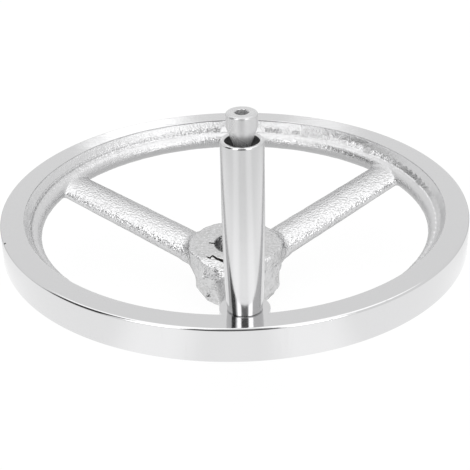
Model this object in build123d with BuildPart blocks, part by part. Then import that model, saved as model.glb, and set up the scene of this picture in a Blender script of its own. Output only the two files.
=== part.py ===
from build123d import *
from math import radians, tan
import os

# Dished machine handwheel, 200 mm, with a turning crank handle held by a shoulder screw.
# The origin is the centre of the hub's lower face and +Z runs up the bore. The handle stands at -Y.

os.makedirs("parts", exist_ok=True)

# --- Driving dimensions, in millimetres ---------------------------------------------------------
# Rim
rim_radius = 100.0
rim_height = 14.7
rim_corner_chamfer = 0.7
face_width = 9.5  # polished flat on top of the rim
step_depth = 1.2  # turned step between the flat and the cast skin
step_width = 1.0
bead_reach = 7.2  # how far the cast bead stands in from the flat's inner edge
bead_radius = 4.0
bead_drop = 9.0  # from the flat down to the middle of the bead
bead_crease_angle = 100.0  # where the cast slope meets the bead, in degrees round the bead
base_land_width = 8.5  # flat on the underside of the rim

# Hub
hub_length = 24.0
hub_radius = 18.6
hub_foot_radius = 17.2
hub_foot_height = 3.8
hub_foot_chamfer = 1.4
hub_crown_chamfer = 0.6
bore_radius = 9.0
bore_chamfer = 0.5
dish = 20.0  # from the hub's upper face up to the rim's flat

# Spokes
spoke_count = 3
spoke_hub_width = 18.4
spoke_hub_thickness = 11.6
spoke_rim_width = 17.6
spoke_rim_thickness = 7.4
spoke_side_share = 0.7  # radius of the oval's sides, as a share of its half thickness
spoke_hub_drop = 8.4  # centre line below the hub's upper face, at the hub's wall
spoke_rim_drop = 10.4  # centre line below the rim's flat, at the bead
spoke_hub_fillet = 6.0
spoke_rim_fillet = 2.0

# Handle
handle_inset = 14.3  # from the rim's outer wall to the handle's axis
pad_radius = 9.5
pad_fillet = 1.5
sleeve_length = 67.8
sleeve_radius = 7.7  # of its straight upper part
sleeve_base_radius = 6.6
sleeve_taper_length = 34.0  # the wall draws in along a long arc over this much above the base
sleeve_lip_wall = 1.7
sleeve_lip_chamfer = 0.45
sleeve_base_chamfer = 0.3
sleeve_recess_depth = 5.0
sleeve_end_clearance = 0.1
sleeve_bore_clearance = 0.08

# Shoulder screw
shank_radius = 4.0
cone_angle = 17.5  # of the head's underside, in degrees from the axis
cone_start = 0.8  # shank that shows below the cone, down from the sleeve's mouth
head_radius = 5.55
head_height = 6.0
head_rounding = 1.0
socket_across_flats = 5.0
socket_depth = 3.5
socket_chamfer = 0.35
thread_radius = 3.0
thread_clearance = 0.02
thread_relief_height = 1.2
thread_relief_depth = 0.4
thread_end_chamfer = 0.7
thread_end_gap = 0.9  # the screw stops this far above the pad's underside

# --- Sizes worked out from them -----------------------------------------------------------------
rim_top = hub_length + dish
rim_bottom = rim_top - rim_height
face_inner_radius = rim_radius - face_width
bead_nose_radius = face_inner_radius - bead_reach
bead_center_radius = bead_nose_radius + bead_radius
bead_center_height = rim_top - bead_drop
base_inner_radius = rim_radius - base_land_width
handle_radius = rim_radius - handle_inset

spoke_angles = [-90 + 360 / spoke_count * turn for turn in range(spoke_count)]
spoke_hub_height = hub_length - spoke_hub_drop
spoke_rim_height = rim_top - spoke_rim_drop
spoke_hub_end = (bore_radius + hub_radius) / 2
spoke_rim_end = (bead_center_radius + face_inner_radius) / 2
spoke_straight_start = hub_radius + spoke_hub_fillet + 2
spoke_straight_end = bead_nose_radius - 2 * spoke_rim_fillet
spoke_root_start = (spoke_straight_end + bead_nose_radius) / 2
spoke_middle = (spoke_straight_start + spoke_straight_end) / 2
spoke_stations = [spoke_hub_end, spoke_straight_start, spoke_middle, spoke_straight_end, spoke_rim_end]

sleeve_bottom = rim_top + sleeve_end_clearance
sleeve_top = sleeve_bottom + sleeve_length
sleeve_bore_radius = shank_radius + sleeve_bore_clearance
sleeve_recess_radius = sleeve_radius - sleeve_lip_wall
cone_bottom = sleeve_top - cone_start
cone_height = (head_radius - shank_radius) / tan(radians(cone_angle))
head_bottom = cone_bottom + cone_height
head_top = head_bottom + head_height
thread_bottom = rim_bottom + thread_end_gap
relief_bottom = rim_top - thread_relief_height


def spoke_share(station):
    """How far along the spoke a station lies: 0 at the hub's wall, 1 at the bead."""
    return (station - hub_radius) / (bead_nose_radius - hub_radius)


def spoke_plane(angle, station):
    """Upright plane across the spoke, centred on it, at a distance from the bore's axis."""
    outward = Vector(1, 0, 0).rotate(Axis.Z, angle)
    height = spoke_hub_height + spoke_share(station) * (spoke_rim_height - spoke_hub_height)
    center = outward * station + Vector(0, 0, height)
    return Plane(origin=center, x_dir=outward.rotate(Axis.Z, 90), z_dir=outward)


def spoke_size(station):
    """Half width and half thickness of the spoke's oval section."""
    width = spoke_hub_width + spoke_share(station) * (spoke_rim_width - spoke_hub_width)
    thickness = spoke_hub_thickness + spoke_share(station) * (spoke_rim_thickness - spoke_hub_thickness)
    return width / 2, thickness / 2


def oval_shoulder(half_width, half_thickness):
    """Point where the oval's crown arc runs into its side arc without a corner."""
    side_radius = spoke_side_share * half_thickness
    side_center = half_width - side_radius
    crown_radius = (side_center**2 + half_thickness**2 - side_radius**2) / (half_thickness - side_radius) / 2
    crown_center = half_thickness - crown_radius
    reach = crown_radius / (crown_radius - side_radius)
    return side_center * reach, crown_center * (1 - reach)


def off_axis(edge, y=0):
    """Distance in plan from the upright line at x = 0 and this y to the middle of an edge's box."""
    middle = edge.center(CenterOf.BOUNDING_BOX)
    return Vector(middle.X, middle.Y - y, 0).length


def inner_end(edge):
    """Distance in plan from the bore's axis to the nearer end of an edge."""
    return min(Vector(end.X, end.Y, 0).length for end in edge.vertices())


# --- Wheel: one casting -------------------------------------------------------------------------
with BuildPart() as wheel:
    # Rim: flat top and outer wall, cast bead on the inner side
    with BuildSketch(Plane.XZ) as rim_profile:
        with BuildLine():
            outer_wall = Polyline(
                (base_inner_radius, rim_bottom),
                (rim_radius, rim_bottom),
                (rim_radius, rim_top),
                (face_inner_radius, rim_top),
                (face_inner_radius - step_width, rim_top - step_depth),
            )
            bead = CenterArc(
                (bead_center_radius, bead_center_height),
                bead_radius,
                start_angle=bead_crease_angle,
                arc_size=270 - bead_crease_angle,
            )
            cast_slope = Line(outer_wall @ 1, bead @ 0)
            underside = Line(bead @ 1, outer_wall @ 0)
        make_face()
        outer_corners = rim_profile.vertices().group_by(Axis.X)[-1]
        chamfer(outer_corners, length=rim_corner_chamfer)
    revolve(axis=Axis.Z)

    # Hub: stepped boss that hangs below the rim
    with BuildSketch(Plane.XZ) as hub_profile:
        with BuildLine():
            Polyline(
                (0, 0),
                (hub_foot_radius, 0),
                (hub_foot_radius, hub_foot_height),
                (hub_radius, hub_foot_height),
                (hub_radius, hub_length),
                (0, hub_length),
                close=True,
            )
        make_face()
        foot_corners = hub_profile.vertices().filter_by_position(Axis.X, hub_foot_radius, hub_foot_radius)
        chamfer(foot_corners.sort_by(Axis.Y)[0], length=hub_foot_chamfer)
        wall_corners = hub_profile.vertices().group_by(Axis.X)[-1]
        chamfer(wall_corners.sort_by(Axis.Y)[-1], length=hub_crown_chamfer)
    revolve(axis=Axis.Z)

    # Spokes: oval bars, wide and thick at the hub, thinner at the rim
    for angle in spoke_angles:
        for station in spoke_stations:
            half_width, half_thickness = spoke_size(station)
            shoulder_x, shoulder_y = oval_shoulder(half_width, half_thickness)
            with BuildSketch(spoke_plane(angle, station)):
                with BuildLine():
                    ThreePointArc((-shoulder_x, shoulder_y), (0, half_thickness), (shoulder_x, shoulder_y))
                    ThreePointArc((shoulder_x, shoulder_y), (half_width, 0), (shoulder_x, -shoulder_y))
                    ThreePointArc((shoulder_x, -shoulder_y), (0, -half_thickness), (-shoulder_x, -shoulder_y))
                    ThreePointArc((-shoulder_x, -shoulder_y), (-half_width, 0), (-shoulder_x, shoulder_y))
                make_face()
        loft(ruled=True)
    root_edges = wheel.edges().filter_by(GeomType.BSPLINE)
    fillet(root_edges.filter_by(lambda edge: off_axis(edge) < hub_radius), radius=spoke_hub_fillet)
    root_edges = wheel.edges().filter_by(GeomType.BSPLINE)
    fillet(root_edges.filter_by(lambda edge: inner_end(edge) > spoke_root_start), radius=spoke_rim_fillet)

    # Bore, chamfered at both ends
    with BuildSketch(Plane.XY):
        Circle(bore_radius)
    extrude(amount=hub_length, mode=Mode.SUBTRACT)
    widest_bore_edge = (bore_radius + hub_foot_radius) / 2
    round_edges = wheel.edges().filter_by(GeomType.CIRCLE)
    bore_edges = round_edges.filter_by(lambda edge: edge.radius < widest_bore_edge)
    chamfer(bore_edges, length=bore_chamfer)

    # Pad: round seat for the handle, flush with the rim's flat
    with BuildSketch(Plane.XY.offset(rim_bottom)):
        with Locations((0, -handle_radius)):
            Circle(pad_radius)
    extrude(amount=rim_height)
    root_edges = wheel.edges().filter_by(GeomType.BSPLINE)
    pad_edges = root_edges.filter_by(lambda edge: off_axis(edge, -handle_radius) < pad_radius)
    fillet(pad_edges.sort_by(SortBy.LENGTH)[-1], radius=pad_fillet)

    # Tapped hole for the shoulder screw, through the pad
    with BuildSketch(Plane.XY.offset(rim_top)):
        with Locations((0, -handle_radius)):
            Circle(thread_radius + thread_clearance)
    extrude(amount=-rim_height, mode=Mode.SUBTRACT)

# --- Handle sleeve: tube drawn in towards its base, open at the top -----------------------------
with BuildPart() as handle_sleeve:
    with BuildSketch(Plane.XZ.offset(handle_radius)) as sleeve_profile:
        with BuildLine():
            taper = TangentArc(
                (sleeve_radius, sleeve_bottom + sleeve_taper_length),
                (sleeve_base_radius, sleeve_bottom),
                tangent=(0, -1),
            )
            Polyline(
                taper @ 0,
                (sleeve_radius, sleeve_top),
                (sleeve_recess_radius, sleeve_top),
                (sleeve_recess_radius, sleeve_top - sleeve_recess_depth),
                (sleeve_bore_radius, sleeve_top - sleeve_recess_depth),
                (sleeve_bore_radius, sleeve_bottom),
                taper @ 1,
            )
        make_face()
        lip_corners = sleeve_profile.vertices().group_by(Axis.Y)[-1]
        chamfer(lip_corners, length=sleeve_lip_chamfer)
        base_corners = sleeve_profile.vertices().group_by(Axis.Y)[0]
        chamfer(base_corners, length=sleeve_base_chamfer)
    revolve(axis=Axis((0, -handle_radius, 0), (0, 0, 1)))

# --- Handle pin: shoulder screw that holds the sleeve -------------------------------------------
with BuildPart() as handle_pin:
    with BuildSketch(Plane.XZ.offset(handle_radius)) as pin_profile:
        with BuildLine():
            Polyline(
                (0, thread_bottom),
                (thread_radius, thread_bottom),
                (thread_radius, relief_bottom),
                (thread_radius - thread_relief_depth, relief_bottom),
                (thread_radius - thread_relief_depth, rim_top),
                (shank_radius, rim_top),
                (shank_radius, cone_bottom),
                (head_radius, head_bottom),
                (head_radius, head_top),
                (0, head_top),
                close=True,
            )
        make_face()
        thread_end = pin_profile.vertices().group_by(Axis.Y)[0].sort_by(Axis.X)[-1]
        chamfer(thread_end, length=thread_end_chamfer)
        head_rim = pin_profile.vertices().group_by(Axis.Y)[-1].sort_by(Axis.X)[-1]
        fillet(head_rim, radius=head_rounding)
    revolve(axis=Axis((0, -handle_radius, 0), (0, 0, 1)))

    # Hexagon socket in the head
    with BuildSketch(Plane.XY.offset(head_top)):
        with Locations((0, -handle_radius)):
            RegularPolygon(radius=socket_across_flats / 2, side_count=6, major_radius=False)
    extrude(amount=-socket_depth, mode=Mode.SUBTRACT)
    socket_edges = handle_pin.edges().filter_by(GeomType.LINE).group_by(Axis.Z)[-1]
    chamfer(socket_edges, length=socket_chamfer)

wheel.part.label = "wheel"
handle_sleeve.part.label = "handle_sleeve"
handle_pin.part.label = "handle_pin"
export_step(wheel.part, "parts/wheel.step")
export_step(handle_sleeve.part, "parts/handle_sleeve.step")
export_step(handle_pin.part, "parts/handle_pin.step")
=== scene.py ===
import bpy
from math import asin, cos, degrees, hypot, pi, radians, sin, tan
from mathutils import Matrix, Vector, noise as lumps


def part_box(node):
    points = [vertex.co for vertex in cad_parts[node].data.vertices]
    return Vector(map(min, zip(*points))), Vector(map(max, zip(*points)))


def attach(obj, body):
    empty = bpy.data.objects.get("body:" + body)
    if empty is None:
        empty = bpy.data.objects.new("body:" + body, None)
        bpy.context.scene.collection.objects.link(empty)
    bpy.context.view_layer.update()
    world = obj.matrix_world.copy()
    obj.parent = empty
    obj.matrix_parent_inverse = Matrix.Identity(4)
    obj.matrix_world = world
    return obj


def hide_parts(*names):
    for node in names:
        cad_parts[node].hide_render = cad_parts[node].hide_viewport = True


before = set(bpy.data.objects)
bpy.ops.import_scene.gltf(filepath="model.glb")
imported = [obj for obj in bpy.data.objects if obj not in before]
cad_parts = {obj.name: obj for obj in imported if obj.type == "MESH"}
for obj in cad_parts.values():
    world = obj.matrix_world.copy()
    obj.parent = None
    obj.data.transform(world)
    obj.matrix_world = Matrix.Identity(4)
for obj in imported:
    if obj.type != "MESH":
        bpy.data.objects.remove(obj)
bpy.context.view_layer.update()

mm = 0.001

# --- Sizes, in metres -------------------------------------------------------------------------------
wheel_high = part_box("wheel")[1]
sleeve_low, sleeve_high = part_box("handle_sleeve")
pin_low, pin_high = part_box("handle_pin")
handle_y = (sleeve_low.y + sleeve_high.y) / 2

# Turned band of the rim
rim_radius = wheel_high.x
rim_top = wheel_high.z
rim_height = 14.7 * mm
rim_bottom = rim_top - rim_height
corner_rounding = 1.1 * mm
face_inner_radius = rim_radius - 9.9 * mm
face_edge_rounding = 0.15 * mm
face_step = 1 * mm
base_inner_radius = rim_radius - 8.5 * mm

# Pad under the handle, and its tapped hole
pad_radius = 9.5 * mm
pad_plate_depth = 1.2 * mm
pad_clearance = 0.5 * mm
pad_face_radius = 4 * mm
screw_hole_radius = 3.02 * mm

# Machined core of the hub
hub_top = 24 * mm
bore_radius = 9 * mm
bore_chamfer = 0.25 * mm
bore_face_reach = 0.7 * mm
hub_face_radius = 9.4 * mm
hub_face_depth = 2 * mm
hub_core_radius = 13 * mm
hub_core_depth = 3 * mm
hub_base_radius = 14.7 * mm
hub_base_rise = 2 * mm

# Uneven sand casting of the hub: lumps, an axis a little off the bore, a flared upper part and a
# low corner, all fading out towards the spokes and towards the bore. The low corner loses a share,
# the drop, of its height above the slope's foot.
hub_free_radius = 26 * mm
hub_still_radius = 11 * mm
hub_blend = 6 * mm
hub_shift = 0.75 * mm
hub_lump = 0.9 * mm
hub_lump_size = 4.2 * mm
hub_flare = 1.8 * mm
hub_flare_start = 9 * mm
hub_flare_rise = 5.5 * mm
hub_slope_start = -10.5 * mm
hub_slope_reach = 6 * mm
hub_slope_blend = 4 * mm
hub_slope_foot = 14 * mm
hub_slope_drop = 0.22

# Cracks in the hub's upper face: start and end in plan, width, depth
hub_cracks = [
    ((-12.7 * mm, -11.3 * mm), (-11.6 * mm, -12.2 * mm), 0.7 * mm, 3.5 * mm),
    ((-11.6 * mm, -12.1 * mm), (-10.2 * mm, -10.7 * mm), 0.8 * mm, 3.8 * mm),
    ((-10.3 * mm, -10.7 * mm), (-8.7 * mm, -12.6 * mm), 1.0 * mm, 5 * mm),
    ((-8.8 * mm, -12.5 * mm), (-4.5 * mm, -14.6 * mm), 1.5 * mm, 6 * mm),
    ((-11.1 * mm, 0.8 * mm), (-9.0 * mm, 0.3 * mm), 1.0 * mm, 1.6 * mm),
]
crack_clearance = 2 * mm
# How deep and how wide the painted shade in the cracks reaches
crack_shadow_depth = 9 * mm
crack_shadow_margin = 1.03

# Nicks in the rim's outer corner: place, and reach outwards, along the rim and upwards
rim_nicks = [
    ((30.9 * mm, -95.4 * mm, 43.3 * mm), (0.5 * mm, 1.1 * mm, 0.5 * mm)),
    ((53.2 * mm, -84.4 * mm, 44.1 * mm), (0.5 * mm, 0.8 * mm, 0.4 * mm)),
    ((75.9 * mm, -65.4 * mm, 38.5 * mm), (0.25 * mm, 0.6 * mm, 0.3 * mm)),
    ((-94.9 * mm, -29.0 * mm, 43.5 * mm), (0.5 * mm, 1.0 * mm, 0.6 * mm)),
]

# Cast skin: relief as size, height and octaves, and where spokes and rim are parted
casting_voxel = 0.5 * mm
casting_seam = 0.002 * mm
sand_lumps = (5 * mm, 0.2 * mm, 1)
sand_grain = (1.2 * mm, 0.05 * mm, 0)
casting_split_radius = 72 * mm
casting_split_bottom = -5 * mm
casting_split_top = 60 * mm
band_clearance = 2 * mm
core_clearance = 1 * mm

# Handle sleeve
sleeve_bottom = sleeve_low.z
sleeve_top = sleeve_high.z
sleeve_radius = sleeve_high.x
sleeve_base_radius = 6.6 * mm
sleeve_base_edge = 0.3 * mm
sleeve_taper_length = 34 * mm
sleeve_taper_share = 0.99
sleeve_recess_radius = 6.0 * mm
sleeve_recess_depth = 5.0 * mm
sleeve_recess_skin = 0.1 * mm
sleeve_bore_radius = 4.08 * mm
lip_rounding = 0.75 * mm

# Shoulder screw
thread_bottom = pin_low.z
thread_radius = 3.0 * mm
thread_chamfer = 0.7 * mm
relief_length = 1.2 * mm
relief_depth = 0.4 * mm
shank_radius = 4.0 * mm
shank_end = 1.5 * mm
neck_radius = 3.1 * mm
neck_start = 0.7 * mm
head_radius = 5.55 * mm
head_top = pin_high.z
head_height = 5.3 * mm
head_rounding = 0.9 * mm
cone_angle = radians(20)
socket_sides = 6
socket_turn = pi / socket_sides
socket_across_flats = 4.5 * mm
socket_depth = 3.5 * mm
socket_lip_radius = 2.8 * mm
socket_lip_depth = 0.25 * mm

# How finely pieces are turned, and how sharp an edge has to be to stay crisp, in degrees
rim_steps = 256
hub_steps = 128
pad_steps = 96
hole_steps = 48
handle_steps = 96
corner_steps = 10
edge_steps = 6
socket_lip_steps = 8
taper_steps = 24
turned_crease = 14
cast_crease = 60

# Points of a profile nearer than the seam become one; a flat gets a last point beside a rounding,
# which keeps its reflections straight
point_seam = 0.001 * mm
arc_support = 0.15 * mm


# --- Modelling steps --------------------------------------------------------------------------------
def only(obj):
    """Make obj the one selected and active object."""
    bpy.ops.object.select_all(action="DESELECT")
    obj.select_set(True)
    bpy.context.view_layer.objects.active = obj


def place_in_mesh():
    """Move the active object's place, turn and size into its mesh."""
    bpy.ops.object.transform_apply(location=True, rotation=True, scale=True)
    return bpy.context.object


def arc(center, radius, start, end, steps):
    """Points of a round stretch of a profile, from one angle to another in degrees."""
    angles = [radians(start + (end - start) * n / steps) for n in range(steps + 1)]
    return [(center[0] + radius * cos(a), center[1] + radius * sin(a)) for a in angles]


def lathe(name, profile, steps, axis_y=0.0):
    """Turn a closed profile of (radius, height) points about the upright axis at y = axis_y."""
    bpy.ops.object.select_all(action="DESELECT")
    bpy.ops.mesh.primitive_plane_add(size=mm, location=(0, 0, 0))
    obj = bpy.context.object
    obj.name = obj.data.name = name
    bpy.ops.object.mode_set(mode="EDIT")
    bpy.ops.mesh.merge(type="CENTER")
    bpy.ops.transform.translate(value=(profile[0][0], axis_y, profile[0][1]))
    for here, there in zip(profile, profile[1:] + profile[:1]):
        step = (there[0] - here[0], 0, there[1] - here[1])
        bpy.ops.mesh.extrude_region_move(TRANSFORM_OT_translate={"value": step})
    bpy.ops.mesh.select_all(action="SELECT")
    bpy.ops.mesh.remove_doubles(threshold=point_seam)
    bpy.ops.mesh.spin(steps=steps, angle=2 * pi, center=(0, axis_y, 0), axis=(0, 0, 1))
    bpy.ops.mesh.select_all(action="SELECT")
    bpy.ops.mesh.remove_doubles(threshold=point_seam)
    bpy.ops.mesh.normals_make_consistent(inside=False)
    bpy.ops.object.mode_set(mode="OBJECT")
    return obj


def cylinder(name, radius, bottom, top, sides, y=0.0, turn=0.0):
    """Closed cylinder or prism between two heights."""
    bpy.ops.object.select_all(action="DESELECT")
    bpy.ops.mesh.primitive_cylinder_add(
        vertices=sides, radius=radius, depth=top - bottom,
        location=(0, y, (top + bottom) / 2), rotation=(0, 0, turn),
    )
    obj = place_in_mesh()
    obj.name = obj.data.name = name
    return obj


def slit(start, end, width, bottom, top):
    """Upright blade between two points in plan, to cut a crack."""
    along = Vector(end) - Vector(start)
    middle = (Vector(start) + Vector(end)) / 2
    bpy.ops.object.select_all(action="DESELECT")
    bpy.ops.mesh.primitive_cylinder_add(
        vertices=8, radius=0.5, depth=1, location=(middle.x, middle.y, (bottom + top) / 2),
        rotation=(0, 0, along.angle_signed(Vector((1, 0)))),
    )
    bpy.context.object.scale = (along.length + width, width, top - bottom)
    return place_in_mesh()


def dent(place, reach):
    """Small round cutter for a nick in an edge."""
    bpy.ops.object.select_all(action="DESELECT")
    bpy.ops.mesh.primitive_ico_sphere_add(subdivisions=2, radius=1, location=place)
    cutter = bpy.context.object
    cutter.scale = reach
    cutter.rotation_euler = (0, 0, Vector(place).to_2d().angle_signed(Vector((1, 0))))
    return place_in_mesh()


def copy_of(obj, name):
    """A second object with its own mesh."""
    twin = bpy.data.objects.new(name, obj.data.copy())
    bpy.context.scene.collection.objects.link(twin)
    return twin


def combine(obj, other, operation):
    """Join, cut or intersect obj with another solid, which is used up."""
    only(obj)
    step = obj.modifiers.new(operation, "BOOLEAN")
    step.object = other
    step.operation = operation
    step.solver = "MANIFOLD"
    bpy.ops.object.modifier_apply(modifier=step.name)
    bpy.data.objects.remove(other)


def roughen(obj, name, size, height, octaves):
    """Push the skin of obj in and out by a cloudy relief in its own coordinates."""
    texture = bpy.data.textures.new(name, "CLOUDS")
    texture.noise_scale = size
    texture.noise_depth = octaves
    only(obj)
    step = obj.modifiers.new(name, "DISPLACE")
    step.texture = texture
    step.texture_coords = "LOCAL"
    step.strength = height
    step.mid_level = 0.5
    bpy.ops.object.modifier_apply(modifier=step.name)


def clamp(value):
    """The value, or 0 or 1 where it lies beyond them."""
    return min(1, max(0, value))


def misshape_hub(obj):
    """Give the cast hub its lumps, its off-centre flared upper part and its low corner."""
    for vertex in obj.data.vertices:
        spot = vertex.co.copy()
        reach = hypot(spot.x, spot.y)
        share = clamp((hub_free_radius - reach) / hub_blend)
        share = share * clamp((reach - hub_still_radius) / hub_blend)
        if not share:
            continue
        flare = share * clamp((spot.z - hub_flare_start) / hub_flare_rise)
        push = hub_lump * share * lumps.noise(spot / hub_lump_size) + hub_flare * flare
        slope = clamp((hub_slope_start - spot.y) / hub_slope_reach)
        slope = slope * clamp(-spot.x / hub_slope_blend)
        spot.z -= hub_slope_drop * slope * max(0, spot.z - hub_slope_foot)
        outward = Vector((spot.x, spot.y, 0)).normalized()
        vertex.co = spot + push * outward + Vector((hub_shift * (share - flare), 0, 0))


def blacken_cracks(obj):
    """Give the walls and bottoms of the hub's cracks the dark material, which is painted shade."""
    obj.data.materials.append(dark)
    last = len(obj.data.materials) - 1
    for start, end, width, depth in hub_cracks:
        middle = (Vector(start) + Vector(end)) / 2
        along = Vector(end) - Vector(start)
        half_length = (along.length + width) / 2 * crack_shadow_margin
        half_width = width / 2 * crack_shadow_margin
        along.normalize()
        for face in obj.data.polygons:
            offset = face.center.to_2d() - middle
            across = offset.x * along.y - offset.y * along.x
            inside = (offset.dot(along) / half_length) ** 2 + (across / half_width) ** 2 < 1
            if inside and face.center.z > hub_top - crack_shadow_depth:
                face.material_index = last


def finish(obj, material, body, crease, inner=None, inner_radius=0.0, axis_y=0.0):
    """Smooth shading, materials and body of a finished piece.

    Edges sharper than crease, in degrees, stay crisp. Faces that lie within inner_radius of the
    upright axis at y = axis_y get the inner material.
    """
    only(obj)
    bpy.ops.object.shade_smooth_by_angle(angle=radians(crease))
    obj.data.materials.clear()
    obj.data.materials.append(material)
    if inner:
        obj.data.materials.append(inner)
        points = [vertex.co for vertex in obj.data.vertices]
        for face in obj.data.polygons:
            reach = max(hypot(points[n].x, points[n].y - axis_y) for n in face.vertices)
            if reach < inner_radius:
                face.material_index = 1
    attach(obj, body)


# --- Camera -----------------------------------------------------------------------------------------
camera_target = Vector((0, 0, 27.9 * mm))
camera_distance = 524.7 * mm
camera_elevation = radians(28.65)
camera_azimuth = radians(2.07)
camera_roll = radians(-1.21)
camera_lens = 91.7
camera_sensor = 36

level_reach = cos(camera_elevation)
forward = Vector((
    sin(camera_azimuth) * level_reach,
    cos(camera_azimuth) * level_reach,
    -sin(camera_elevation),
))
camera_data = bpy.data.cameras.new("camera")
camera_data.lens = camera_lens
camera_data.sensor_width = camera_sensor
camera = bpy.data.objects.new("camera", camera_data)
bpy.context.scene.collection.objects.link(camera)
camera.matrix_world = (
    Matrix.Translation(camera_target - forward * camera_distance)
    @ forward.to_track_quat("-Z", "Y").to_matrix().to_4x4()
    @ Matrix.Rotation(camera_roll, 4, "Z")
)
bpy.context.scene.camera = camera


# --- Shader helpers ---------------------------------------------------------------------------------
class Nodes:
    """Adds nodes to a tree and links them, one short call for each."""

    def __init__(self, tree):
        self.tree = tree

    def add(self, kind, **settings):
        """A new node of a kind, with its settings."""
        node = self.tree.nodes.new(kind)
        for key, value in settings.items():
            setattr(node, key, value)
        return node

    def feed(self, socket, value):
        """Link an output to socket, or set it to a plain value."""
        if isinstance(value, bpy.types.NodeSocket):
            self.tree.links.new(value, socket)
        else:
            socket.default_value = value

    def math(self, operation, a, b=0.0, c=0.0):
        """Result of a sum on up to three values."""
        node = self.add("ShaderNodeMath", operation=operation)
        for socket, value in zip(node.inputs, (a, b, c)):
            self.feed(socket, value)
        return node.outputs[0]

    def split(self, vector):
        """The three parts of a vector."""
        node = self.add("ShaderNodeSeparateXYZ")
        self.feed(node.inputs[0], vector)
        return node.outputs

    def length(self, x, y):
        """Distance of a point in plan from the upright axis."""
        squares = self.math("ADD", self.math("MULTIPLY", x, x), self.math("MULTIPLY", y, y))
        return self.math("SQRT", squares)

    def ramp(self, value, low, high, out_low=0.0, out_high=1.0):
        """Smooth step of value from low to high."""
        node = self.add("ShaderNodeMapRange", interpolation_type="SMOOTHSTEP")
        self.feed(node.inputs["Value"], value)
        self.feed(node.inputs["From Min"], low)
        self.feed(node.inputs["From Max"], high)
        self.feed(node.inputs["To Min"], out_low)
        self.feed(node.inputs["To Max"], out_high)
        return node.outputs["Result"]

    def window(self, value, low, high, soft):
        """1 between low and high, falling off over soft at both ends."""
        rise = self.ramp(value, low - soft, low + soft)
        fall = self.ramp(value, high - soft, high + soft, 1.0, 0.0)
        return self.math("MULTIPLY", rise, fall)

    def blend(self, current, mask, value):
        """Current level where mask is 0, value where it is 1."""
        node = self.add("ShaderNodeMix", data_type="FLOAT")
        self.feed(node.inputs["Factor"], mask)
        self.feed(node.inputs["A"], current)
        self.feed(node.inputs["B"], value)
        return node.outputs["Result"]

    def tint(self, mask, color, other):
        """Color where mask is 0, other where it is 1."""
        node = self.add("ShaderNodeMix", data_type="RGBA")
        self.feed(node.inputs["Factor"], mask)
        node.inputs["A"].default_value = color
        node.inputs["B"].default_value = other
        return node.outputs["Result"]

    def noise(self, place, scale, detail=1.0):
        """Cloudy values from 0 to 1 that repeat about scale times in a metre."""
        node = self.add("ShaderNodeTexNoise")
        self.feed(node.inputs["Vector"], place)
        node.inputs["Scale"].default_value = scale
        node.inputs["Detail"].default_value = detail
        return node.outputs["Fac"]

    def place(self):
        """Place on the piece, in metres."""
        return self.add("ShaderNodeTexCoord").outputs["Object"]


# --- Materials --------------------------------------------------------------------------------------
chrome_color = (0.62, 0.62, 0.625, 1)
steel_color = (0.3, 0.3, 0.303, 1)
grime_color = (0.52, 0.52, 0.52, 1)
# The two colours of the painted shade in the hub's cracks: near-black, and faintly lighter flecks
crack_shade_color = (0.004, 0.004, 0.004, 1)
crack_shade_fleck_color = (0.03, 0.026, 0.022, 1)

# Fine relief of the finishes: repeats in a metre, octaves and height
polish_waves = (70, 1, 0.06 * mm)
polish_ripple = (600, 2, 0.012 * mm)
plating_grain = (900, 2, 0.02 * mm)
steel_grain = (2500, 1, 0.02 * mm)
crack_shade_relief = (1500, 2, 0.3 * mm)

# Wear: hairline scratches at three angles in radians, long one way and fine the other, and smudges
scratch_turns = (0.4, 1.3, 2.5)
scratch_roll = 0.3
scratch_tilt = 0.2
scratch_stretch = (60, 2600, 60)
scratch_edge = (0.7, 0.76)
smudge_cloud = (45, 3)
smudge_edge = (0.42, 0.68)

# Turning marks: repeats in a metre of height, octaves, and where dull marks begin and end
turning_marks = 14000
turning_detail = 1
turning_edge = (0.5, 0.65)
round_the_axis = 0.25       # turn of the stretched reflections that makes them run with the marks

# Cast skin: where hub and rim begin, counted from the axis, and its grain
cast_hub_edge = (21 * mm, 17 * mm)
cast_rim_edge = (78 * mm, 86 * mm)
cast_height = 0.55 * mm
cast_grain = (1150, 0.5)
rim_grain = (1600, 0.5)
rim_dullness = 0.17
rim_grain_change = (20 * mm, 85 * mm, 0.2, 0.42)    # two places from front to back, two strengths
hub_grain_loss = -0.6
grime_cloud = (700, 3)
grime_edge = (0.35, 0.65)
# Cloud of lighter flecks in the painted shade of the cracks
crack_shade_cloud = (900, 2)


def metal(name, roughness, color=chrome_color, metallic=1):
    """A metal finish to build on: the material, its nodes and its shader."""
    material = bpy.data.materials.new(name)
    material.use_nodes = True
    shader = material.node_tree.nodes["Principled BSDF"]
    shader.inputs["Base Color"].default_value = color
    shader.inputs["Metallic"].default_value = metallic
    shader.inputs["Roughness"].default_value = roughness
    return material, Nodes(material.node_tree), shader


def bump(nodes, shader, height, distance, under=None):
    """Relief of a given depth on the shader, over another relief if there is one."""
    node = nodes.add("ShaderNodeBump")
    node.inputs["Strength"].default_value = 1
    node.inputs["Distance"].default_value = distance
    nodes.feed(node.inputs["Height"], height)
    if under:
        nodes.feed(node.inputs["Normal"], under)
    nodes.feed(shader.inputs["Normal"], node.outputs["Normal"])
    return node.outputs["Normal"]


def fine_relief(nodes, shader, place, relief, under=None):
    """One of the fine reliefs listed above, put on the shader."""
    scale, detail, height = relief
    return bump(nodes, shader, nodes.noise(place, scale, detail), height, under)


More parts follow.
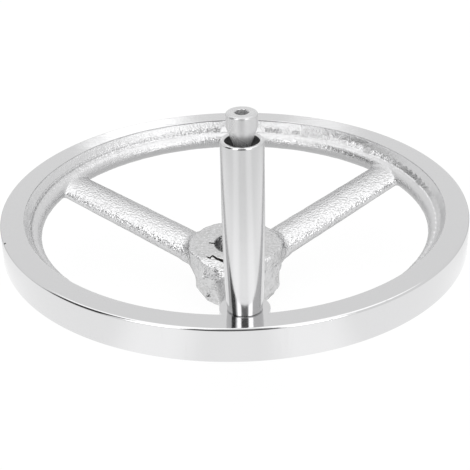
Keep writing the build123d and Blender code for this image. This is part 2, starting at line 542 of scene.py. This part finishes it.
def wear_group():
    """Masks for hairline scratches and for hand smudges, shared by the plated finishes."""
    tree = bpy.data.node_groups.new("wear", "ShaderNodeTree")
    tree.interface.new_socket("Place", in_out="INPUT", socket_type="NodeSocketVector")
    tree.interface.new_socket("Scratches", in_out="OUTPUT", socket_type="NodeSocketFloat")
    tree.interface.new_socket("Smudges", in_out="OUTPUT", socket_type="NodeSocketFloat")
    nodes = Nodes(tree)
    place = nodes.add("NodeGroupInput").outputs[0]
    result = nodes.add("NodeGroupOutput")
    scratches = 0.0
    for turn in scratch_turns:
        mapping = nodes.add("ShaderNodeMapping")
        nodes.feed(mapping.inputs["Vector"], place)
        mapping.inputs["Rotation"].default_value = (scratch_roll * turn, scratch_tilt, turn)
        mapping.inputs["Scale"].default_value = scratch_stretch
        line = nodes.ramp(nodes.noise(mapping.outputs[0], 1, 0), *scratch_edge)
        scratches = nodes.math("MAXIMUM", scratches, line)
    smudges = nodes.ramp(nodes.noise(place, *smudge_cloud), *smudge_edge)
    nodes.feed(result.inputs["Scratches"], scratches)
    nodes.feed(result.inputs["Smudges"], smudges)
    return tree


def worn_roughness(nodes, place, clean, smudge, scratch=0.0):
    """Roughness of a clean surface, and more of it in smudges and scratches."""
    masks = nodes.add("ShaderNodeGroup", node_tree=wear)
    nodes.feed(masks.inputs[0], place)
    roughness = nodes.math("MULTIPLY_ADD", masks.outputs["Smudges"], smudge, clean)
    if scratch:
        roughness = nodes.math("MULTIPLY_ADD", masks.outputs["Scratches"], scratch, roughness)
    return roughness


def stretch_round(nodes, shader, strength):
    """Smear reflections across the marks that turning leaves round the piece."""
    shader.inputs["Anisotropic"].default_value = strength
    shader.inputs["Anisotropic Rotation"].default_value = round_the_axis
    tangent = nodes.add("ShaderNodeTangent", direction_type="RADIAL", axis="Z")
    nodes.feed(shader.inputs["Tangent"], tangent.outputs[0])


def polished_chrome():
    """Mirror plating of the rim and the hub's face, slightly wavy, with scratches and smudges."""
    material, nodes, shader = metal("polished_chrome", roughness=0.05)
    place = nodes.place()
    roughness = worn_roughness(nodes, place, clean=0.04, smudge=0.05, scratch=0.12)
    nodes.feed(shader.inputs["Roughness"], roughness)
    waves = fine_relief(nodes, shader, place, polish_waves)
    fine_relief(nodes, shader, place, polish_ripple, waves)
    return material


def turned_chrome(low, high):
    """Plating of the sleeve over fine turning marks, its roughness between low and high."""
    material, nodes, shader = metal("turned_chrome", roughness=low)
    marks = nodes.add("ShaderNodeTexNoise", noise_dimensions="1D")
    nodes.feed(marks.inputs["W"], nodes.split(nodes.place())[2])
    marks.inputs["Scale"].default_value = turning_marks
    marks.inputs["Detail"].default_value = turning_detail
    roughness = nodes.ramp(marks.outputs["Fac"], *turning_edge, low, high)
    nodes.feed(shader.inputs["Roughness"], roughness)
    stretch_round(nodes, shader, strength=0.9)
    return material


def satin_plating():
    """Dull plating of the screw, with faint turning marks and hand smudges."""
    material, nodes, shader = metal("satin_plating", roughness=0.3, metallic=0.6)
    place = nodes.place()
    roughness = worn_roughness(nodes, place, clean=0.24, smudge=0.08, scratch=0.1)
    nodes.feed(shader.inputs["Roughness"], roughness)
    stretch_round(nodes, shader, strength=0.5)
    fine_relief(nodes, shader, place, plating_grain)
    return material


def machined_steel():
    """Bare machined steel inside the bore, the tapped hole and the sleeve."""
    material, nodes, shader = metal("machined_steel", 0.35, steel_color, metallic=0.7)
    place = nodes.place()
    roughness = worn_roughness(nodes, place, clean=0.28, smudge=0.15)
    nodes.feed(shader.inputs["Roughness"], roughness)
    fine_relief(nodes, shader, place, steel_grain)
    return material


def cast_chrome():
    """Plating over the sand-cast skin: coarse on the spokes, finer on the rim, grimy on the hub."""
    material, nodes, shader = metal("cast_chrome", roughness=0.13)
    place = nodes.place()
    x, y = nodes.split(place)[:2]
    reach = nodes.length(x, y)
    hub = nodes.ramp(reach, *cast_hub_edge)
    rim = nodes.ramp(reach, *cast_rim_edge)
    roughness = worn_roughness(nodes, place, clean=0.13, smudge=0.08)
    roughness = nodes.math("MULTIPLY_ADD", rim, rim_dullness, roughness)
    nodes.feed(shader.inputs["Roughness"], roughness)
    grime = nodes.math("MULTIPLY", hub, nodes.ramp(nodes.noise(place, *grime_cloud), *grime_edge))
    nodes.feed(shader.inputs["Base Color"], nodes.tint(grime, chrome_color, grime_color))
    strength = nodes.blend(1.0, rim, nodes.ramp(y, *rim_grain_change))
    strength = nodes.math("MULTIPLY_ADD", hub, hub_grain_loss, strength)
    grain = nodes.blend(nodes.noise(place, *cast_grain), rim, nodes.noise(place, *rim_grain))
    bump(nodes, shader, nodes.math("MULTIPLY", grain, strength), cast_height)
    return material


def crack_shadow():
    """Painted shade for the inside of the cracks: near-black, with faintly lighter flecks."""
    material, nodes, shader = metal("crack_shadow", 0.9, crack_shade_color, metallic=0)
    place = nodes.place()
    crack_tone = nodes.tint(nodes.noise(place, *crack_shade_cloud), crack_shade_color, crack_shade_fleck_color)
    nodes.feed(shader.inputs["Base Color"], crack_tone)
    fine_relief(nodes, shader, place, crack_shade_relief)
    return material


wear = wear_group()
polished = polished_chrome()
turned = turned_chrome(low=0.1, high=0.2)
satin = satin_plating()
machined = machined_steel()
rough = cast_chrome()
dark = crack_shadow()


# --- Wheel: turned rim band, machined hub core, cast skin -------------------------------------------
def band_profile(clear):
    """The turned band of the rim; clear opens it outwards and upwards to cut room for itself."""
    corner = rim_radius - corner_rounding + clear
    inner = [(base_inner_radius, rim_bottom - clear)]
    low = arc((corner, rim_bottom + corner_rounding - clear), corner_rounding, -90, 0, corner_steps)
    high = arc((corner, rim_top - corner_rounding + clear), corner_rounding, 0, 90, corner_steps)
    step = [(face_inner_radius, rim_top - face_step)]
    if clear:
        return inner + low + high + [(face_inner_radius, rim_top + clear)] + step
    rounded = (face_inner_radius + face_edge_rounding, rim_top - face_edge_rounding)
    flat = [(high[-1][0] - arc_support, rim_top), (rounded[0] + arc_support, rim_top)]
    return inner + low + high + flat + arc(rounded, face_edge_rounding, 90, 180, edge_steps) + step


def hub_profile(clear):
    """Bore, machined upper and lower faces, and a core that stays inside the casting."""
    return [
        (bore_radius, bore_chamfer),
        (bore_radius + bore_chamfer, -clear),
        (hub_base_radius, -clear),
        (hub_core_radius, hub_base_rise),
        (hub_core_radius, hub_top - hub_core_depth),
        (hub_face_radius, hub_top - hub_face_depth),
        (hub_face_radius, hub_top + clear),
        (bore_radius + bore_chamfer, hub_top + clear),
        (bore_radius, hub_top - bore_chamfer),
    ]


rim_band = lathe("rim_band", band_profile(0), rim_steps)
plate_bottom = rim_top - pad_plate_depth
pad_plate = cylinder("pad_plate", pad_radius, plate_bottom, rim_top, pad_steps, handle_y)
combine(rim_band, pad_plate, "UNION")
drill_top = rim_top + mm
screw_hole = cylinder("screw_hole", screw_hole_radius, rim_bottom, drill_top, hole_steps, handle_y)
combine(rim_band, screw_hole, "DIFFERENCE")

hub_core = lathe("hub_core", hub_profile(0), hub_steps)

casting = copy_of(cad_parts["wheel"], "casting")
only(casting)
bpy.ops.object.mode_set(mode="EDIT")
bpy.ops.mesh.select_all(action="SELECT")
bpy.ops.mesh.remove_doubles(threshold=casting_seam)
bpy.ops.object.mode_set(mode="OBJECT")
casting.data.remesh_voxel_size = casting_voxel
bpy.ops.object.voxel_remesh()
roughen(casting, "sand_lumps", *sand_lumps)
roughen(casting, "sand_grain", *sand_grain)
misshape_hub(casting)

# Room in the casting for the machined pieces, then the cut between rim and spokes
combine(casting, lathe("band_room", band_profile(band_clearance), rim_steps), "DIFFERENCE")
combine(casting, lathe("hub_room", hub_profile(core_clearance), hub_steps), "DIFFERENCE")
room_radius = pad_radius + pad_clearance
pad_room = cylinder("pad_room", room_radius, plate_bottom, drill_top, pad_steps, handle_y)
combine(casting, pad_room, "DIFFERENCE")
spider = copy_of(casting, "spider_casting")
inside = cylinder("split", casting_split_radius, 0, casting_split_top, rim_steps)
combine(spider, inside, "INTERSECT")
inside = cylinder("split", casting_split_radius, casting_split_bottom, casting_split_top, rim_steps)
combine(casting, inside, "DIFFERENCE")
casting.name = "rim_casting"

for start, end, width, depth in hub_cracks:
    for piece in (spider, hub_core):
        blade = slit(start, end, width, hub_top - depth, hub_top + crack_clearance)
        combine(piece, blade, "DIFFERENCE")
for place, reach in rim_nicks:
    combine(rim_band, dent(place, reach), "DIFFERENCE")

bore_face_radius = bore_radius + bore_face_reach
finish(
    rim_band, polished, "wheel", turned_crease, machined, pad_face_radius, handle_y
)
finish(hub_core, polished, "wheel", turned_crease, machined, bore_face_radius)
finish(casting, rough, "wheel", cast_crease)
finish(spider, rough, "wheel", cast_crease)
# Painted shade: the cracks' walls and bottoms get the near-black material
for piece in (spider, hub_core):
    blacken_cracks(piece)
for piece in (rim_band, hub_core, casting, spider):
    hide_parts("wheel")

# --- Handle sleeve ----------------------------------------------------------------------------------
taper_sweep = sleeve_radius - sleeve_base_radius
taper_radius = (sleeve_taper_length**2 + taper_sweep**2) / (2 * taper_sweep)
taper_center = (sleeve_radius - taper_radius, sleeve_bottom + sleeve_taper_length)
taper_angle = degrees(asin(sleeve_taper_length / taper_radius))
lip_height = sleeve_top - lip_rounding
recess_floor = sleeve_top - sleeve_recess_depth
sleeve_profile = [
    (sleeve_bore_radius, sleeve_bottom),
    (sleeve_base_radius - sleeve_base_edge, sleeve_bottom),
    *arc(taper_center, taper_radius, sleeve_taper_share * -taper_angle, 0, taper_steps),
    (sleeve_radius, lip_height - arc_support),
    *arc((sleeve_radius - lip_rounding, lip_height), lip_rounding, 0, 90, corner_steps),
    *arc((sleeve_recess_radius + lip_rounding, lip_height), lip_rounding, 90, 180, corner_steps),
    (sleeve_recess_radius, recess_floor),
    (sleeve_bore_radius, recess_floor),
]
sleeve = lathe("sleeve", sleeve_profile, handle_steps, handle_y)
recess_face_radius = sleeve_recess_radius + sleeve_recess_skin
finish(
    sleeve, turned, "handle", turned_crease, machined, recess_face_radius, handle_y
)
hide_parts("handle_sleeve")

# --- Shoulder screw ---------------------------------------------------------------------------------
head_bottom = head_top - head_height
neck_top = head_bottom - (head_radius - neck_radius) / tan(cone_angle)
head_corner = (head_radius - head_rounding, head_top - head_rounding)
socket_lip = (socket_lip_radius, head_top - socket_lip_depth)
screw_profile = [
    (0, thread_bottom),
    (thread_radius - thread_chamfer, thread_bottom),
    (thread_radius, thread_bottom + thread_chamfer),
    (thread_radius, rim_top - relief_length),
    (thread_radius - relief_depth, rim_top - relief_length),
    (thread_radius - relief_depth, rim_top),
    (shank_radius, rim_top),
    (shank_radius, recess_floor - shank_end),
    (neck_radius, recess_floor - neck_start),
    (neck_radius, neck_top),
    (head_radius, head_bottom),
    (head_radius, head_corner[1] - arc_support),
    *arc(head_corner, head_rounding, 0, 90, corner_steps),
    *arc(socket_lip, socket_lip_depth, 90, 180, socket_lip_steps),
    (0, head_top - socket_lip_depth),
]
screw = lathe("shoulder_screw", screw_profile, handle_steps, handle_y)
socket_radius = socket_across_flats / 2 / cos(pi / socket_sides)
socket_bottom = head_top - socket_depth
socket = cylinder(
    "socket", socket_radius, socket_bottom, head_top + mm, socket_sides, handle_y, socket_turn
)
combine(screw, socket, "DIFFERENCE")
finish(screw, satin, "wheel", turned_crease)
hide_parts("handle_pin")


# --- Studio -----------------------------------------------------------------------------------------
# What the chrome mirrors, in degrees: elevation is counted upwards from level, azimuth to the right
# of the way towards the camera. The pale ceiling leans a little.
white = (1, 1, 1, 1)
ceiling_tilt = radians(3.5)
ceiling_edge = (46, 41)
ceiling_back = (0.53, 0.45)
ceiling_level = 1.65
# Soft lamps and dark areas: lowest and highest elevation, left and right azimuth, brightness
surroundings = (
    (6, 52, -50, -26, 2.8),       # lamp on the left
    (6, 52, 23, 50, 2.8),         # lamp on the right
    (-30, 54, -92, -60, 0.07),    # black screen on the left
    (-30, 46, -22, 18, 0.25),     # dim room behind the camera
    (-30, 26, -22, 18, 0.06),     # its dark lower part
)
area_soft_up = 3
area_soft_side = 4
# Duller gap in the ceiling above the camera: reach to the sides, towards the camera and upwards
gap_sides = (-9, 9, 3)
gap_front = (-0.25, -0.4)
gap_rise = (40, 48)
gap_level = 0.55
# Lamps behind the wheel: azimuth, elevation, reach and brightness, and the share of the reach that
# is fully bright
lamps_behind = ((-2.9, 23.3, 3.4, 1.9), (6.8, 23.3, 2.2, 1.3))
lamp_core = 0.2

# What the chrome mirrors in the floor is a glow with painted light and shade: brightest in front and
# in painted pools of lamp light, with a painted shadow under the wheel, duller far off, and darker
# far places painted for reflections of the dim room behind the camera and of the black screen. A
# change is given as the two angles or distances that it lies between and its two levels, a place as
# its left and right azimuth and its brightness.
floor_size = 12
floor_color = (0.95, 0.95, 0.95, 1)
floor_white = 1.03
floor_white_share = 0.9
floor_sides = (80, 130, 1.2, 0.8)
floor_painted_pools = ((-36, -14, 1.36), (12, 34, 1.36), (-8, 6, 1.22))
floor_painted_pools_soft = 7
floor_outer = (0.17, 0.3, 1.0, 0.8)
floor_painted_shadow = (0.07, 0.1, 0.88, 1.0)
floor_far = (0.45, 0.6)
floor_painted_dark = ((-22, 18, 0.1), (-97, -60, 0.08))
floor_painted_dark_soft = 6


def azimuth_of(nodes, x, y):
    """Degrees to the right of the way towards the camera, seen from the camera."""
    turn = nodes.math("ARCTAN2", x, nodes.math("MULTIPLY", y, -1.0))
    return nodes.math("ADD", nodes.math("DEGREES", turn), degrees(camera_azimuth))


def mirrored_apart(nodes, seen, mirrored, output):
    """Show one shader to the camera and to dull surfaces, and another to mirrors."""
    mix = nodes.add("ShaderNodeMixShader")
    nodes.feed(mix.inputs[0], nodes.add("ShaderNodeLightPath").outputs["Is Glossy Ray"])
    nodes.feed(mix.inputs[1], seen)
    nodes.feed(mix.inputs[2], mirrored)
    nodes.feed(output.inputs["Surface"], mix.outputs[0])


def studio_world():
    """White surroundings, in which mirrors see a ceiling, lamps and the dark camera side."""
    world = bpy.data.worlds.new("studio")
    bpy.context.scene.world = world
    world.use_nodes = True
    nodes = Nodes(world.node_tree)
    way = nodes.add("ShaderNodeTexCoord").outputs["Generated"]
    x, y, z = nodes.split(way)
    elevation = nodes.math("DEGREES", nodes.math("ARCSINE", z))
    azimuth = azimuth_of(nodes, x, y)
    side_angle = nodes.math("DEGREES", nodes.math("ARCSINE", x))

    from_top = nodes.math("MULTIPLY", y, sin(ceiling_tilt))
    from_top = nodes.math("ADD", from_top, nodes.math("MULTIPLY", z, cos(ceiling_tilt)))
    from_top = nodes.math("DEGREES", nodes.math("ARCCOSINE", from_top))
    ceiling = nodes.ramp(from_top, *ceiling_edge)
    ceiling = nodes.math("MULTIPLY", ceiling, nodes.ramp(y, *ceiling_back))
    gap = nodes.math("MULTIPLY", nodes.window(side_angle, *gap_sides), nodes.ramp(y, *gap_front))
    gap = nodes.math("MULTIPLY", gap, nodes.ramp(elevation, *gap_rise))

    level = nodes.blend(1.0, ceiling, ceiling_level)
    for low, high, left, right, value in surroundings:
        tall = nodes.window(elevation, low, high, area_soft_up)
        wide = nodes.window(azimuth, left, right, area_soft_side)
        level = nodes.blend(level, nodes.math("MULTIPLY", tall, wide), value)
    level = nodes.blend(level, gap, gap_level)
    for turn, height, reach, value in lamps_behind:
        turn, height, reach = radians(turn), radians(height), sin(radians(reach))
        nearness = nodes.add("ShaderNodeVectorMath", operation="DISTANCE")
        nodes.feed(nearness.inputs[0], way)
        level_part = cos(height)
        lamp_way = (sin(turn) * level_part, cos(turn) * level_part, sin(height))
        nearness.inputs[1].default_value = lamp_way
        lamp = nodes.ramp(nearness.outputs["Value"], reach, lamp_core * reach)
        level = nodes.blend(level, lamp, value)

    mirrored = world.node_tree.nodes["Background"]
    mirrored.inputs["Color"].default_value = white
    nodes.feed(mirrored.inputs["Strength"], level)
    plain = nodes.add("ShaderNodeBackground")
    plain.inputs["Color"].default_value = white
    output = world.node_tree.nodes["World Output"]
    mirrored_apart(nodes, plain.outputs[0], mirrored.outputs[0], output)


def studio_floor():
    """White floor that takes a shadow; what mirrors see in it is a glow with painted light and shade.
    """
    bpy.ops.object.select_all(action="DESELECT")
    bpy.ops.mesh.primitive_plane_add(size=floor_size, location=(0, 0, 0))
    floor = bpy.context.object
    floor.name = "floor"
    material = bpy.data.materials.new("floor")
    material.use_nodes = True
    nodes = Nodes(material.node_tree)
    material.node_tree.nodes.remove(material.node_tree.nodes["Principled BSDF"])
    lit = nodes.add("ShaderNodeBsdfDiffuse")
    lit.inputs["Color"].default_value = floor_color
    bright = nodes.add("ShaderNodeEmission")
    bright.inputs["Strength"].default_value = floor_white
    seen = nodes.add("ShaderNodeMixShader")
    seen.inputs[0].default_value = floor_white_share
    nodes.feed(seen.inputs[1], lit.outputs[0])
    nodes.feed(seen.inputs[2], bright.outputs[0])

    # Painted light and shade of the glow that mirrors see: pools of lamp light, shadow under the
    # wheel, dark far places
    x, y = nodes.split(nodes.place())[:2]
    azimuth = azimuth_of(nodes, x, y)
    distance = nodes.length(x, y)
    level = nodes.ramp(nodes.math("ABSOLUTE", azimuth), *floor_sides)
    for left, right, value in floor_painted_pools:
        level = nodes.blend(level, nodes.window(azimuth, left, right, floor_painted_pools_soft), value)
    level = nodes.math("MULTIPLY", level, nodes.ramp(distance, *floor_outer))
    level = nodes.math("MULTIPLY", level, nodes.ramp(distance, *floor_painted_shadow))
    far = nodes.ramp(distance, *floor_far)
    for left, right, value in floor_painted_dark:
        dim = nodes.math("MULTIPLY", far, nodes.window(azimuth, left, right, floor_painted_dark_soft))
        level = nodes.blend(level, dim, value)
    glow = nodes.add("ShaderNodeEmission")
    nodes.feed(glow.inputs["Strength"], level)
    output = material.node_tree.nodes["Material Output"]
    mirrored_apart(nodes, seen.outputs[0], glow.outputs[0], output)
    floor.data.materials.append(material)


studio_world()
studio_floor()
bpy.context.scene.view_settings.view_transform = "Standard"
